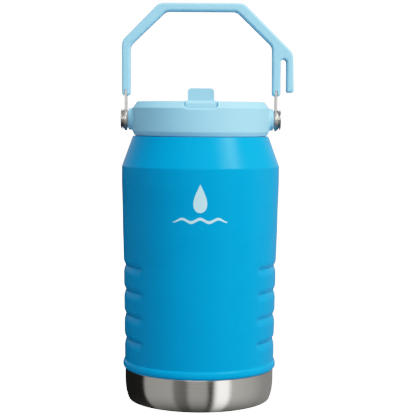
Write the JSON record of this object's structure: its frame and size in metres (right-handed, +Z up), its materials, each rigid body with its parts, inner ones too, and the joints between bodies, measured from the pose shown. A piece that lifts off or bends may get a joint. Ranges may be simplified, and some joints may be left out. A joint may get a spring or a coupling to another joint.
{
  "type": "large water jug",
  "caption": "Double-wall steel water jug with ribbed sides, a screw lid with a flip-up straw spout, and a swinging eight-sided carry handle with a side hook.",
  "frame": {"origin": "centre of the base, on the surface the jug stands on", "axes": "+Z up along the bottle's axis, -Y the front where the spout's thumb tab is, +X the side of the handle's hook"},
  "size_m": [0.1396, 0.128, 0.3213],
  "materials": {
    "blue_coat": "satin powder coat",
    "bare_steel": "brushed",
    "dark_steel": "satin",
    "sky_plastic": "fine matte moulded",
    "white_plastic": "moulded",
    "foam": "closed-cell foam",
    "clear_silicone": "translucent matte",
    "grey_silicone": "matte"
  },
  "bodies": {
    "bottle": {"outer_shell": "blue_coat", "inner_liner": "bare_steel", "base_cup": "bare_steel", "base_pad": "grey_silicone", "vacuum_getter": "dark_steel"},
    "seal_ring": {"lid_gasket": "clear_silicone"},
    "lid": {"lid_body": "sky_plastic", "lid_plug": "sky_plastic", "lid_insulation": "foam", "vent_valve": "clear_silicone", "spout_seal": "grey_silicone", "straw_adapter": "white_plastic", "straw": "clear_silicone", "spout_stub_left": "bare_steel", "spout_stub_right": "bare_steel", "pivot_pin_left": "bare_steel", "pivot_pin_right": "bare_steel", "pivot_washer_left": "white_plastic", "pivot_washer_right": "white_plastic"},
    "spout": {"spout": "sky_plastic", "spout_tube": "clear_silicone"},
    "handle": {"handle_bail": "sky_plastic", "handle_strap_left": "bare_steel", "handle_strap_right": "bare_steel", "strap_rivet_left": "dark_steel", "strap_rivet_right": "dark_steel", "pivot_bush_left": "white_plastic", "pivot_bush_right": "white_plastic"}
  },
  "joints": [
    {"name": "lid_lift", "type": "slide", "parent": "bottle", "child": "seal_ring", "axis": [0, 0, 1], "range_m": [0, 0.009]},
    {"name": "lid_turn", "type": "hinge", "parent": "seal_ring", "child": "lid", "pos_m": [0, 0, 0.2147], "axis": [0, 0, 1], "range_deg": [0, 540]},
    {"name": "spout_flip", "type": "hinge", "parent": "lid", "child": "spout", "pos_m": [0, -0.006, 0.233], "axis": [-1, 0, 0], "range_deg": [0, 90]},
    {"name": "handle_swing", "type": "hinge", "parent": "lid", "child": "handle", "pos_m": [0, 0, 0.2281], "axis": [1, 0, 0], "range_deg": [-125, 125]}
  ],
  "couplings": [
    {"joint": "lid_lift", "follows": "lid_turn", "m_per_rad": 0.00095493}
  ]
}
